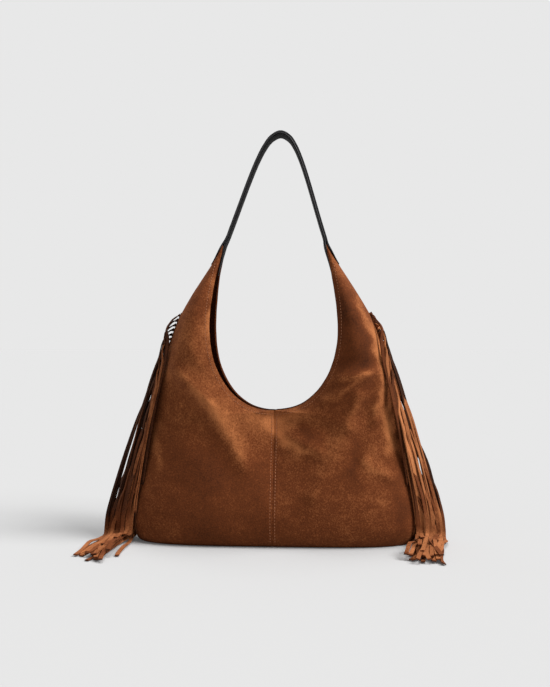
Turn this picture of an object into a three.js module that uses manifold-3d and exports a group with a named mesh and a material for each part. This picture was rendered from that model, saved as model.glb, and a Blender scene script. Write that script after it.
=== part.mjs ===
// Slouchy suede shoulder bag: four suede panels on a flat base, a two-ply leather strap that takes the
// points of the two arms between its plies, and a cut fringe sewn into each side seam.
// Millimetres, +Z up, +X to the bag's right as seen from the front, +Y to the back.
// The origin is the middle of the base, on the surface that the bag stands on.

import * as THREE from "three";
import Module from "manifold-3d";

// Body, seen from the front
const BASE_LENGTH = 376;
const HIP_WIDTH = 380;
const HIP_HEIGHT = 90;
const CORNER_SWELL = 10;
const SHOULDER_WIDTH = 262;
const SHOULDER_HEIGHT = 318;
const ARM_SPAN = 151;
const ARM_HEIGHT = 409;
const ARM_TIP_WIDTH = 10;
const MOUTH_WIDTH = 176;
const MOUTH_DIP = 182;
const MOUTH_WIDEST = 298;

// Body, seen from the side
const BASE_DEPTH = 96;
const BELLY_DEPTH = 120;
const BELLY_HEIGHT = 40;
const RIM_GAP = 26;
const MOUTH_GAPE = 64;
const ARM_TIP_DEPTH = 28;
const CHEEK_SWELL = 32;
const FOLD_SIZE = 5;
const BASE_ROUNDNESS = 4;
const MOUTH_ROUNDNESS = 2.4;
const CHEEK_START = 0.08;
const CHEEK_FADE = 0.92;
const FLAT_AT_BASE = 0.12;
const FLAT_AT_TIP = 0.1;
const FLAT_AT_SEAM = 0.15;

// Suede and leather
const SUEDE = 2;
const BASE_THICKNESS = 3;
const CLEARANCE = 0.3;

// Strap
const STRAP_WIDTH = 34;
const STRAP_PLY = 2.4;
const STRAP_TOP = 570;
const STRAP_LEAN = 5;
const STRAP_JOIN_SPAN = 132;
const STRAP_JOIN_RISE = 18;
const OUTER_LAP = 20;
const INNER_LAP = 32;

// Fringe
const STRIP_WIDTH = 5.4;
const STRIP_THICKNESS = 1.1;
const STRIP_PITCH = 7;
const STRIP_LENGTH = 240;
const STRIP_LENGTH_GRADE = 0.25;
const STRIP_LENGTH_SPREAD = 34;
const HEADER_DEPTH = 6;
const HEADER_PROUD = 1.6;
const LOOP_OUT = 8;
const LOOP_DROP = 7;
const TWIST_END = 0.3;
const SWAY_DROP = 12;
const BUNDLE_TOP = 9;
const BUNDLE_FOOT = 46;
const BUNDLE_SPAN = 25;
const FACING_HEIGHT = 45;
const FLOOR_BEND = 9;
const LAYER_HEIGHT = 1.3;

// Lanes in which the strips hang by turns, the topmost strip in the first one: the place behind the seam,
// the share of the bundle's reach, and the lower of the two layers that its strips form on the floor
const LANES = [
  { y: -24, spread: 0.95, layer: 8 },
  { y: 18, spread: 1, layer: 0 },
  { y: -15, spread: 1, layer: 6 },
  { y: 8, spread: 1, layer: 2 },
  { y: -5.5, spread: 1, layer: 4 },
];

// The two fringes: side of the bag, degrees by which the tails on the floor head outwards, and the start of
// the row of strip lengths
const FRINGES = {
  left: { side: -1, course: -1, seed: 40 },
  right: { side: 1, course: -4, seed: 15 },
};

// Fineness of the facets
const COLUMNS = 12;
const FRONT_ROWS = 22;
const BACK_ROWS = 14;
const STRAP_STEPS = 22;
const HEADER_STEPS = 10;
const LOOP_ANGLES = [0.6, Math.PI / 2];
const HANG_SHARES = [0.14, 0.32, 0.62, 1];
const SIDE_SAMPLES = 40;
const COLUMN_CROWDING = 1.6;
const NORMAL_STEP = 0.004;

// Values that follow from the ones above
const HEADER_THICKNESS = STRIP_THICKNESS * 1.16;
const SEAM_HALF = HEADER_THICKNESS / 2 + CLEARANCE;
const STRIP_START = HEADER_PROUD * 0.9;
const STRIP_BED = STRIP_THICKNESS / 2 + CLEARANCE;
const BUNDLE_START = 0.91 * SHOULDER_HEIGHT;
const BUNDLE_END = -0.19 * SHOULDER_HEIGHT;

// Soft ridges (+) and hollows (-) of the slack suede. Ends are shares of the hip's half width and of the
// shoulder's height in the front view, height and width are shares of the fold size.
const FRONT_FOLDS = [
  { from: [-0.79, 0.755], to: [-0.43, 0.553], height: 1.2, width: 3 },
  { from: [-0.43, 0.553], to: [-0.19, 0.34], height: 1, width: 3.4 },
  { from: [-0.66, 0.805], to: [-0.48, 0.698], height: -1.2, width: 2.6 },
  { from: [0.42, 0.73], to: [0.73, 0.745], height: 1, width: 2.2 },
  { from: [0.47, 0.79], to: [0.74, 0.783], height: -1.2, width: 2.2 },
  { from: [0.29, 0.579], to: [0.49, 0.664], height: 0.8, width: 2.6 },
  { from: [0.06, 0.516], to: [0.32, 0.415], height: 0.8, width: 2.6 },
  { from: [0.19, 0.535], to: [0.32, 0.481], height: -0.8, width: 2.2 },
  { from: [0.51, 0.528], to: [0.33, 0.252], height: 0.8, width: 3.2 },
];
const BACK_FOLDS = [
  { from: [-0.63, 0.723], to: [-0.26, 0.377], height: 0.8, width: 4 },
  { from: [0.58, 0.739], to: [0.32, 0.409], height: 0.8, width: 4 },
];

const wasm = await Module();
wasm.setup();

function point(x, y, z) {
  return new THREE.Vector3(x, y, z);
}

function mix(a, b, share) {
  return a + (b - a) * share;
}

function bound(value, low, high) {
  return Math.min(high, Math.max(low, value));
}

function smooth(start, end, value) {
  const share = bound((value - start) / (end - start), 0, 1);
  return share * share * (3 - 2 * share);
}

// A repeatable number from 0 to 1 for a strip
function scatter(index, channel) {
  const wave = Math.sin(index * 12.9898 + channel * 78.233) * 43758.5453;
  return wave - Math.floor(wave);
}

// Closed mesh from points and triangles, turned so that its faces look outwards
function closedGeometry(points, triangles) {
  let volume = 0;
  const cross = new THREE.Vector3();
  for (const [a, b, c] of triangles) {
    volume += points[a].dot(cross.crossVectors(points[b], points[c]));
  }
  const outward = volume < 0 ? triangles.map(([a, b, c]) => [a, c, b]) : triangles;
  const geometry = new THREE.BufferGeometry().setFromPoints(points);
  geometry.setIndex(outward.flat());
  return geometry;
}

// Solid between an outer grid of points and an inner one of the same size
function shellGeometry(outer, inner) {
  const rows = outer.length;
  const columns = outer[0].length;
  const points = [...outer.flat(), ...inner.flat()];
  const triangles = [];
  const at = (layer, row, column) => layer * rows * columns + row * columns + column;
  const quad = (a, b, c, d) => triangles.push([a, b, c], [a, c, d]);
  for (let row = 0; row + 1 < rows; row += 1) {
    for (let column = 0; column + 1 < columns; column += 1) {
      quad(at(0, row, column), at(0, row, column + 1), at(0, row + 1, column + 1), at(0, row + 1, column));
      quad(at(1, row, column), at(1, row + 1, column), at(1, row + 1, column + 1), at(1, row, column + 1));
    }
    const last = columns - 1;
    quad(at(0, row, 0), at(0, row + 1, 0), at(1, row + 1, 0), at(1, row, 0));
    quad(at(0, row, last), at(1, row, last), at(1, row + 1, last), at(0, row + 1, last));
  }
  for (let column = 0; column + 1 < columns; column += 1) {
    const top = rows - 1;
    quad(at(0, 0, column), at(1, 0, column), at(1, 0, column + 1), at(0, 0, column + 1));
    quad(at(0, top, column), at(0, top, column + 1), at(1, top, column + 1), at(1, top, column));
  }
  return closedGeometry(points, triangles);
}

// Flat band swept through frames, each with a place, a width direction and a thickness direction.
// Both wide faces are split along the same diagonal, so that a twisted stretch keeps its thickness.
function bandGeometry(frames, width, thickness) {
  const points = [];
  const triangles = [];
  const quad = (a, b, c, d) => triangles.push([a, b, c], [a, c, d]);
  for (const { place, across, through } of frames) {
    for (const [w, t] of [[-1, -1], [1, -1], [1, 1], [-1, 1]]) {
      const corner = place.clone().addScaledVector(across, (w * width) / 2);
      points.push(corner.addScaledVector(through, (t * thickness) / 2));
    }
  }
  const end = (frames.length - 1) * 4;
  for (let ring = 0; ring < end; ring += 4) {
    quad(ring, ring + 1, ring + 5, ring + 4);
    quad(ring + 1, ring + 2, ring + 6, ring + 5);
    quad(ring + 3, ring + 7, ring + 6, ring + 2);
    quad(ring + 3, ring, ring + 4, ring + 7);
  }
  quad(3, 2, 1, 0);
  quad(end, end + 1, end + 2, end + 3);
  return closedGeometry(points, triangles);
}

function solidFrom(geometry) {
  const vertProperties = geometry.attributes.position.array;
  const triVerts = new Uint32Array(geometry.index.array);
  return new wasm.Manifold(new wasm.Mesh({ numProp: 3, vertProperties, triVerts }));
}

function geometryFrom(solid) {
  const mesh = solid.getMesh();
  const geometry = new THREE.BufferGeometry();
  geometry.setAttribute("position", new THREE.BufferAttribute(mesh.vertProperties, 3));
  geometry.setIndex(new THREE.BufferAttribute(mesh.triVerts, 1));
  return geometry;
}

// Side seam from the base corner to the tip of the arm, for the right half of the bag
const hip = point(HIP_WIDTH / 2, 0, HIP_HEIGHT);
const shoulder = point(SHOULDER_WIDTH / 2, 0, SHOULDER_HEIGHT);
const tipOuter = point((ARM_SPAN + ARM_TIP_WIDTH) / 2, 0, ARM_HEIGHT);
const tipInner = point((ARM_SPAN - ARM_TIP_WIDTH) / 2, -ARM_TIP_DEPTH / 2, ARM_HEIGHT);

const cornerRun = new THREE.CubicBezierCurve3(
  point(BASE_LENGTH / 2, 0, 0),
  point(BASE_LENGTH / 2 + 1.9 * CORNER_SWELL, 0, 0.07 * HIP_HEIGHT),
  point(hip.x + 0.45 * CORNER_SWELL, 0, 0.67 * HIP_HEIGHT),
  hip,
);
const fringeRun = new THREE.CubicBezierCurve3(
  hip,
  point(mix(hip.x, shoulder.x, 0.15), 0, mix(hip.z, shoulder.z, 0.26)),
  point(mix(hip.x, shoulder.x, 0.48), 0, mix(hip.z, shoulder.z, 0.7)),
  shoulder,
);
const armRun = new THREE.CubicBezierCurve3(
  shoulder,
  point(mix(shoulder.x, tipOuter.x, 0.25), 0, mix(shoulder.z, tipOuter.z, 0.29)),
  point(mix(shoulder.x, tipOuter.x, 0.74), 0, mix(shoulder.z, tipOuter.z, 0.73)),
  tipOuter,
);
const sideSeam = new THREE.CurvePath();
sideSeam.curves = [cornerRun, fringeRun, armRun];

// Inner edge of the front right panel: up the centre seam, then round the rim to the tip of the arm
const belly = point(CLEARANCE / 2, -BELLY_DEPTH / 2, BELLY_HEIGHT);
const rimCentre = point(CLEARANCE / 2, -RIM_GAP / 2, MOUTH_DIP);
const rimSide = point(MOUTH_WIDTH / 2, -MOUTH_GAPE / 2, MOUTH_WIDEST);
const bellyRun = new THREE.CubicBezierCurve3(
  point(belly.x, -BASE_DEPTH / 2, 0),
  point(belly.x, mix(-BASE_DEPTH / 2, belly.y, 0.7), 0.1 * BELLY_HEIGHT),
  point(belly.x, belly.y, 0.5 * BELLY_HEIGHT),
  belly,
);
const riseRun = new THREE.CubicBezierCurve3(
  belly,
  point(belly.x, belly.y, mix(BELLY_HEIGHT, MOUTH_DIP, 0.36)),
  point(belly.x, mix(belly.y, rimCentre.y, 0.92), mix(BELLY_HEIGHT, MOUTH_DIP, 0.6)),
  rimCentre,
);
const dipRun = new THREE.CubicBezierCurve3(
  rimCentre,
  point(0.59 * rimSide.x, rimCentre.y, rimCentre.z),
  point(rimSide.x, rimSide.y, mix(rimCentre.z, rimSide.z, 0.41)),
  rimSide,
);
const rimRun = new THREE.CubicBezierCurve3(
  rimSide,
  point(rimSide.x, rimSide.y, mix(rimSide.z, tipInner.z, 0.34)),
  point(mix(rimSide.x, tipInner.x, 0.5), tipInner.y, mix(rimSide.z, tipInner.z, 0.7)),
  tipInner,
);
const innerEdge = new THREE.CurvePath();
innerEdge.curves = [bellyRun, riseRun, dipRun, rimRun];
const RIM_START = (bellyRun.getLength() + riseRun.getLength()) / innerEdge.getLength();

function foldRelief(folds, x, z) {
  let relief = 0;
  const spot = point(x, 0, z);
  const nearest = new THREE.Vector3();
  const place = ([across, up]) => point(across * hip.x, 0, up * SHOULDER_HEIGHT);
  for (const { from, to, height, width } of folds) {
    const line = new THREE.Line3(place(from), place(to));
    const distance = line.closestPointToPoint(spot, true, nearest).distanceTo(spot);
    relief += FOLD_SIZE * height * Math.exp(-((distance / (FOLD_SIZE * width)) ** 2));
  }
  return relief;
}

// Outer face of a panel: across runs from the inner edge (0) to the side seam (1), up from base to tip
function panelPoint(side, folds, across, up) {
  const inner = innerEdge.getPoint(up);
  const outer = sideSeam.getPoint(up);
  const x = side * mix(inner.x, outer.x, across);
  const z = mix(inner.z, outer.z, across);
  const roundness = mix(BASE_ROUNDNESS, MOUTH_ROUNDNESS, smooth(0, RIM_START, up));
  const section = Math.sqrt(1 - across ** roundness);
  const cheek = smooth(CHEEK_START, RIM_START, up) * (1 - CHEEK_FADE * smooth(0.5, 1, up));
  const swell = CHEEK_SWELL * cheek * 4 * across * (1 - across);
  const nearEnds = smooth(0, FLAT_AT_BASE, up) * smooth(1, 1 - FLAT_AT_TIP, up);
  const calm = nearEnds * smooth(1, 1 - FLAT_AT_SEAM, across);
  const relief = calm * foldRelief(folds, x, z);
  const depth = SEAM_HALF + (-inner.y - SEAM_HALF) * section + swell + relief;
  return point(x, -depth, z);
}

// Direction out of the panel, kept in the plane of each seam so that walls meet squarely there
function panelNormal(side, folds, across, up) {
  const low = (value) => Math.max(0, value - NORMAL_STEP);
  const high = (value) => Math.min(1, value + NORMAL_STEP);
  const along = panelPoint(side, folds, high(across), up).sub(panelPoint(side, folds, low(across), up));
  const rise = panelPoint(side, folds, across, high(up)).sub(panelPoint(side, folds, across, low(up)));
  const normal = along.cross(rise).multiplyScalar(side);
  if (across === 0 && up <= RIM_START) normal.x = 0;
  if (across === 1) normal.y = 0;
  if (up === 0) normal.z = 0;
  return normal.normalize();
}

function panelLayer(side, folds, columns, rows, inset) {
  const layer = [];
  const seamRows = Math.round(rows * RIM_START);
  for (let row = 0; row <= rows; row += 1) {
    const up = row <= seamRows
      ? (RIM_START * row) / seamRows
      : mix(RIM_START, 1, (row - seamRows) / (rows - seamRows));
    const line = [];
    for (let column = 0; column <= columns; column += 1) {
      const across = 1 - (1 - column / columns) ** COLUMN_CROWDING;
      const normal = panelNormal(side, folds, across, up);
      line.push(panelPoint(side, folds, across, up).addScaledVector(normal, -inset));
    }
    layer.push(line);
  }
  return layer;
}

function panelGeometry(side, face, folds, columns, rows) {
  const outer = panelLayer(side, folds, columns, rows, 0);
  const inner = panelLayer(side, folds, columns, rows, SUEDE);
  const turned = (layer) => layer.map((line) => line.map((p) => point(p.x, p.y * face, p.z)));
  return shellGeometry(turned(outer), turned(inner));
}

// Flat base that fills the ring of the four panels' lower edges
function baseGeometry() {
  const quarter = panelLayer(1, [], COLUMNS, FRONT_ROWS, SUEDE + CLEARANCE)[0];
  const half = [...quarter, ...quarter.slice(0, -1).reverse().map((p) => point(p.x, -p.y, 0))];
  const outline = [...half, ...half.slice(1, -1).reverse().map((p) => point(-p.x, p.y, 0))];
  const shape = new THREE.Shape(outline.map((p) => new THREE.Vector2(p.x, p.y)));
  return new THREE.ExtrudeGeometry(shape, { depth: BASE_THICKNESS, bevelEnabled: false });
}

// Middle line of the strap, from the left join over the top to the right join
function strapArch() {
  const joinHeight = ARM_HEIGHT + STRAP_JOIN_RISE;
  const top = point(STRAP_LEAN, 0, STRAP_TOP - STRAP_PLY - CLEARANCE / 2);
  const rise = top.z - joinHeight;
  const leg = (side) => new THREE.CubicBezierCurve3(
    point((side * STRAP_JOIN_SPAN) / 2, 0, joinHeight),
    point(side * 0.29 * STRAP_JOIN_SPAN, 0, joinHeight + 0.56 * rise),
    point(STRAP_LEAN + side * 0.18 * STRAP_JOIN_SPAN, 0, top.z),
    top,
  );
  const left = leg(-1).getPoints(STRAP_STEPS / 2);
  const right = leg(1).getPoints(STRAP_STEPS / 2).slice(0, -1).reverse();
  return [...left, ...right];
}

// Points at the arm where a ply starts: on the side seam for the outer one, on the rim for the inner one
function lapPoints(edge, lap) {
  const length = edge.getLength();
  return [1 - lap / length, 1 - lap / length / 2, 1].map((up) => edge.getPoint(up).setY(0));
}

function strapPlyGeometry(edge, lap, outward) {
  const lapRun = lapPoints(edge, lap);
  const arch = strapArch();
  const mirrored = lapRun.map((p) => point(-p.x, 0, p.z));
  const line = [...mirrored, ...arch, ...lapRun.reverse()];
  const frames = line.map((place, index) => {
    const before = line[Math.max(0, index - 1)];
    const after = line[Math.min(line.length - 1, index + 1)];
    const heading = after.clone().sub(before).normalize();
    const through = point(-heading.z, 0, heading.x).multiplyScalar(outward);
    const onArm = index < lapRun.length || index >= line.length - lapRun.length;
    const offset = (onArm ? CLEARANCE : CLEARANCE / 2) + STRAP_PLY / 2;
    return { place: place.clone().addScaledVector(through, offset), across: point(0, 1, 0), through };
  });
  return bandGeometry(frames, STRAP_WIDTH, STRAP_PLY);
}

// Half width of the bag at a height, for what hangs down its side past the widest point of the corner
const sideProfile = sideSeam.getPoints(SIDE_SAMPLES);
const widest = sideProfile.reduce((a, b) => (a.x > b.x ? a : b));
function hangReach(height) {
  if (height <= widest.z) return widest.x;
  const next = sideProfile.findIndex((p) => p.z >= height);
  const low = sideProfile[next - 1];
  const high = sideProfile[next];
  return mix(low.x, high.x, (height - low.z) / (high.z - low.z));
}

// How far the bundle of strips stands out from the bag's side at a height
function bundleReach(height) {
  return mix(BUNDLE_TOP, BUNDLE_FOOT, smooth(BUNDLE_START, BUNDLE_END, height));
}

// Place of a strip in the bundle at a height, from the lowest one that hangs there (0) to the highest (1).
// So a strip lies over all those of its lane that start lower.
function bundleShare(rootHeight, height) {
  const lowest = Math.max(HIP_HEIGHT, height);
  return bound((rootHeight - lowest) / Math.max(SHOULDER_HEIGHT - lowest, BUNDLE_SPAN), 0, 1);
}

// Line of one strip, for a bag side with +X outwards: out of the seam, over, down and along the floor
function stripFrames(index, count, fringe) {
  const share = (index + 0.5) / count;
  const root = fringeRun.getPointAt(share);
  const tangent = fringeRun.getTangentAt(share);
  const turn = count - 1 - index;
  const lane = LANES[turn % LANES.length];
  const layer = lane.layer + (Math.floor(turn / LANES.length) % 2);
  const graded = STRIP_LENGTH + STRIP_LENGTH_GRADE * (root.z - HIP_HEIGHT);
  const length = graded + STRIP_LENGTH_SPREAD * (scatter(fringe.seed + index, 11) - 0.5);
  const bed = STRIP_BED + layer * LAYER_HEIGHT;

  const hang = (height, loop) => {
    const drop = root.z - height;
    const nest = bundleShare(root.z, height) * bundleReach(height) * lane.spread;
    const sway = lane.y * (1 - Math.exp(-drop / SWAY_DROP));
    return point(hangReach(height) + LOOP_OUT * loop + nest, sway, height);
  };
  const places = [root.clone().setX(root.x + STRIP_START)];
  for (const angle of LOOP_ANGLES) {
    places.push(hang(root.z - LOOP_DROP * (1 - Math.cos(angle)), Math.sin(angle)));
  }
  const hangTop = root.z - LOOP_DROP;
  const bendTop = bed + FLOOR_BEND;
  for (const part of HANG_SHARES) {
    places.push(hang(mix(hangTop, bendTop, part), 1));
  }
  const foot = places[places.length - 1];
  for (const angle of [Math.PI / 4, Math.PI / 2]) {
    const ahead = FLOOR_BEND * (1 - Math.cos(angle));
    places.push(point(foot.x, foot.y - ahead, bendTop - FLOOR_BEND * Math.sin(angle)));
  }
  const course = THREE.MathUtils.degToRad(fringe.course);
  const tail = point(Math.sin(course), -Math.cos(course), 0).multiplyScalar(STRIP_LENGTH);
  places.push(places[places.length - 1].clone().add(tail));
  return bandFrames(cutToLength(places, length), (place) => {
    if (place.z > root.z - TWIST_END * LOOP_DROP) return tangent;
    const facing = (Math.PI / 2) * smooth(FACING_HEIGHT, bendTop, place.z);
    return point(Math.sin(facing), Math.cos(facing), 0);
  });
}

function cutToLength(places, length) {
  const kept = [places[0]];
  let left = length;
  for (let index = 1; index < places.length && left > 0; index += 1) {
    const span = places[index].distanceTo(places[index - 1]);
    kept.push(places[index - 1].clone().lerp(places[index], Math.min(1, left / span)));
    left -= span;
  }
  return kept;
}

// Frames along a line of places, with the width direction given for each place
function bandFrames(places, widthAt) {
  return places.map((place, index) => {
    const before = places[Math.max(0, index - 1)];
    const after = places[Math.min(places.length - 1, index + 1)];
    const heading = after.clone().sub(before).normalize();
    const across = widthAt(place).clone();
    across.addScaledVector(heading, -across.dot(heading)).normalize();
    return { place, across, through: heading.cross(across) };
  });
}

// Uncut header of the fringe, held in the side seam
function headerGeometry() {
  const frames = [];
  for (let step = 0; step <= HEADER_STEPS; step += 1) {
    const share = step / HEADER_STEPS;
    const tangent = fringeRun.getTangentAt(share);
    const out = point(tangent.z, 0, -tangent.x);
    const middle = HEADER_PROUD - HEADER_DEPTH / 2;
    const place = fringeRun.getPointAt(share).addScaledVector(out, middle);
    frames.push({ place, across: out, through: point(0, 1, 0) });
  }
  return bandGeometry(frames, HEADER_DEPTH, HEADER_THICKNESS);
}

function fringeGeometry(fringe) {
  const count = Math.floor(fringeRun.getLength() / STRIP_PITCH);
  let solid = solidFrom(headerGeometry());
  for (let index = 0; index < count; index += 1) {
    const strip = bandGeometry(stripFrames(index, count, fringe), STRIP_WIDTH, STRIP_THICKNESS);
    solid = solid.add(solidFrom(strip));
  }
  return geometryFrom(fringe.side > 0 ? solid : solid.mirror([1, 0, 0]));
}

function suede(colour) {
  return new THREE.MeshStandardMaterial({ color: colour, roughness: 0.95, metalness: 0 });
}

function strapLeather(colour) {
  return new THREE.MeshStandardMaterial({ color: colour, roughness: 0.45, metalness: 0 });
}

const bag = new THREE.Group();

function addPiece(name, geometry, material) {
  const piece = new THREE.Mesh(geometry, material);
  piece.name = name;
  bag.add(piece);
}

for (const [name, fringe] of Object.entries(FRINGES)) {
  const side = fringe.side;
  const front = panelGeometry(side, 1, FRONT_FOLDS, COLUMNS, FRONT_ROWS);
  const back = panelGeometry(side, -1, BACK_FOLDS, COLUMNS, BACK_ROWS);
  addPiece(`front_panel_${name}`, front, suede(0x7d4623));
  addPiece(`back_panel_${name}`, back, suede(0x75411f));
  addPiece(`fringe_${name}`, fringeGeometry(fringe), suede(0x87502b));
}
addPiece("base_panel", baseGeometry(), suede(0x6b3a1c));
addPiece("strap_outer_ply", strapPlyGeometry(sideSeam, OUTER_LAP, 1), strapLeather(0x151414));
addPiece("strap_inner_ply", strapPlyGeometry(innerEdge, INNER_LAP, -1), strapLeather(0x2a2929));

export default bag;
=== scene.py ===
"""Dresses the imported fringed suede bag: suede, cut fringe, leather strap, stitches, floor and light."""

import math

import bmesh
import bpy
import numpy as np
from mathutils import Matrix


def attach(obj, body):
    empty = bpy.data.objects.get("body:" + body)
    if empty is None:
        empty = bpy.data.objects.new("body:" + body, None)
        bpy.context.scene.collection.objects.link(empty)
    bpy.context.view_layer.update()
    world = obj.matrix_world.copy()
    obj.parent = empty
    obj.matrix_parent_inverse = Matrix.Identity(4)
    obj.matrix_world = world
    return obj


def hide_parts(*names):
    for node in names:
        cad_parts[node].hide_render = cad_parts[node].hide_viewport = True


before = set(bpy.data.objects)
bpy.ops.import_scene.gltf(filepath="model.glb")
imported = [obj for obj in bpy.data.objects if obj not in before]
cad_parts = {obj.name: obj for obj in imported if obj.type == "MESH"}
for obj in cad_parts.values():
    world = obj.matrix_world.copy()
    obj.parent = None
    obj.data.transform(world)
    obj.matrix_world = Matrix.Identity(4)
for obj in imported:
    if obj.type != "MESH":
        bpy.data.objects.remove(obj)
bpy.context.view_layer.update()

MM = 0.001

# Body, in millimetres. Base depth, mouth gape, arm points and suede differ a little from the solids
BASE_LENGTH = 376
HIP_WIDTH = 380
HIP_HEIGHT = 90
CORNER_SWELL = 10
SHOULDER_WIDTH = 262
SHOULDER_HEIGHT = 318
ARM_SPAN = 144
ARM_HEIGHT = 411
ARM_TIP_WIDTH = 2
MOUTH_WIDTH = 176
MOUTH_DIP = 182
MOUTH_WIDEST = 298
BASE_DEPTH = 86
BELLY_DEPTH = 120
BELLY_HEIGHT = 40
RIM_GAP = 26
MOUTH_GAPE = 76
ARM_TIP_DEPTH = 28
CHEEK_SWELL = 32
BASE_ROUNDNESS = 4
MOUTH_ROUNDNESS = 2.4
CHEEK_START = 0.08
CHEEK_FADE = 0.92
FLAT_AT_BASE = 0.12
FLAT_AT_TIP = 0.1
FLAT_AT_SEAM = 0.15
SEAM_HALF = 1.0
SEAM_CLOSED = 0.02
SEAM_CLOSING = 0.012
SUEDE = 1.8
BASE_THICKNESS = 3
CLEARANCE = 0.3

# Strap
STRAP_WIDTH = 34
STRAP_PLY = 1.8
STRAP_TOP = 570
STRAP_LEAN = 8
STRAP_TURN = 0.044
STRAP_JOIN_SPAN = 136
STRAP_JOIN_RISE = 11
OUTER_LAP = 30
INNER_LAP = 42
STRAP_EDGE_ROUND = 0.6
STRAP_SKIVE = 0.15
STRAP_TONGUE = 0.45
STRAP_STEPS = 120

# Fringe
STRIP_WIDTH = 5.2
STRIP_THICKNESS = 1.5
STRIP_PITCH = 7
STRIP_LENGTH = 240
STRIP_LENGTH_SPREAD = 34
STRIP_START = 0.9
SHORTEST_TAIL = 0.65
HEADER_DEPTH = 6
HEADER_THICKNESS = 1.16 * STRIP_THICKNESS
LOOP_DROP = 7
LOOP_RISE = 1
LOOP_SETTLE = 36
LOW_LOOP = 0.35
HIGH_ROOTS = (0.6, 0.95)
BUNDLE_TOP = 13
BUNDLE_SPAN = 25
BUNDLE_SPREAD = (0.88, 1.08)
FAN_START = 10
FAN_STEP = 0.618
SWAY_DROP = 12
FLOOR_BEND = 9
LAYER_HEIGHT = 1.3
ROLL_ROOM = 1.2
PILE_MIDDLE = 22
PILE_DRAW = 0.4
PILE_RUN = 120
PILE_SINK = 0.7
PILE_SINK_RUN = (39, 169)

# How a strip wavers as it hangs, sideways and to the front
RIPPLE = 1.2
RIPPLE_RUN = (40, 70)
WANDER = 2
WANDER_RUN = 50
WAVER_START = (20, 80)

# How it crumples on the floor: curl, humps and turns from side to side
CURL = (-0.2, 0.06)
CURL_RUN = 120
HUMP = (1, 11)
HUMP_RUN = (20, 36)
HUMP_START = (6, 26)
HUMP_END = (110, 60)
SNAKE = (1, 4)
SNAKE_RUN = (16, 28)
SNAKE_START = (0, 25)
PHASE = 6.3

# How its face turns as it hangs and lies, and rolls in the pile: degrees and runs
FACING_SPREAD = 24
FACING_RUN = (12, 50)
SWING = 9
SWING_RUN = (40, 70)
SWING_START = (25, 90)
FLOOR_FACING = 86
FLOOR_TURN = 45
ROLL_LEAN = 30
ROLL_SWING = 14
ROLL_RUN = 17
ROLL_START = 2
ROLL_FULL = 10

# Its tone where it lies on the floor, painted paler there as light on the pile, and darker at the cut end
FLOOR_HEIGHTS = (60, 5)
LYING_PAINTED_LIGHT = 0.12
FLOOR_TONE_SPREAD = 0.3
CUT_END_TONE = 0.3

# Lanes in which the strips hang by turns, the topmost strip in the first one: the place behind the seam,
# the share of the loop and what is left of it further down, the drop in which the strip takes its place in
# the fan, how far it tucks in and faces the front, its tone, painted paler in the front lanes and darker in
# the back ones as shade between the strips, its layer on the floor and its extra length for each millimetre
# of its root's height
LANE_KEYS = ("y", "loop", "rest", "fan", "tuck", "facing", "tone", "layer", "grade")
LANES = [dict(zip(LANE_KEYS, lane)) for lane in (
    (-24, 0.5, 0, 75, 7, 42, 0.2, 8, 0.1),
    (18, 1, 0.35, 110, 2, 34, -0.35, 0, 1.05),
    (-15, 0.8, 0.1, 75, 5, 40, 0.05, 6, 0.75),
    (8, 1, 0.35, 100, 3, 34, -0.3, 2, 1.05),
    (-5.5, 1, 0.35, 110, 2, 38, -0.15, 4, 1),
)]

# The two fringes: side of the bag, how far the header shows and the loops stand out, reach of the bundle's
# foot, run in which a strip turns its edge to the front, how much the tails crumple and stray, how far they
# come to the front and to the side, degrees by which they head outwards, tone, painted darker on the left
# as shade, and how much it varies at random, start of the chances
FRINGES = {
    "left": {"side": -1, "header": 1.6, "loop": 9, "foot": 47, "twist": 3, "crumple": 0.4, "stray": 7,
             "front": 168, "edge": 66, "course": 4, "tone": -0.3, "shades": 0.5, "seed": 40},
    "right": {"side": 1, "header": 4, "loop": 4.5, "foot": 42, "twist": 18, "crumple": 1, "stray": 8,
              "front": 152, "edge": 36, "course": -6, "tone": 0, "shades": 0.9, "seed": 15},
}

# Sewing
STITCH_LENGTH = 2.8
STITCH_SPACING = 4.2
STITCH_THREAD = 1.0
SEAM_ROW = 3.2
HEM_ROW = 4.6
STRAP_ROW = 3.2
SEAM_ROW_PROUD = -0.1
HEM_ROW_PROUD = 0.35
STRAP_ROW_SUNK = 0.22
SEAM_ROW_START = 0.03
SEAM_ROW_END = 0.004
HEM_ROW_RUN = (0.02, 0.9)
STRAP_ROW_END = 3
SEAM_SUNK = 0.6
SEAM_SOFTNESS = 1.2
SEAM_ROW_SUNK = 0.4
HEM_PROUD = 0.7
HEM_EDGE = 2.5
HEM_ROW_SUNK = 0.6
ROW_SOFTNESS = 0.9

# Relief of the panels, the fraying of their strokes of painted light and nap, and painted shade on their
# inner faces
SLACK_BROAD = 0.55
SLACK_FINE = 0.14
SLACK_MARGIN = 0.07
SEWN_MARGIN = 0.03
SEWN_START = 0.02
FRAY_BROAD = 3
FRAY_FINE = 1.6
# Painted shade on the panels' inner faces, inside the bag
INSIDE_PAINTED_SHADE = -0.15

# Base
BASE_GAP = 0.5
BASE_BEVEL = 0.8
# Painted shade on the base, which lies under the bag
BASE_PAINTED_SHADE = -0.1
BASE_CROWDING = 1.6

# Fineness
PANEL_COLUMNS = 100
PANEL_ROWS = 230
EDGE_CROWDING = 0.7
CURVE_SAMPLES = 240
OUTLINE_STEPS = 24
STRIP_STEPS = 72
LOOP_STEPS = 9
HANG_STEPS = 44
TAIL_STEPS = 48
HEADER_STEPS = 60
LEG_STEPS = 12
SEAM_ROW_STEPS = 90
HEM_ROW_STEPS = 120
PANEL_SHARP_ANGLE = 40
CUT_SHARP_ANGLE = 50

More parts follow.
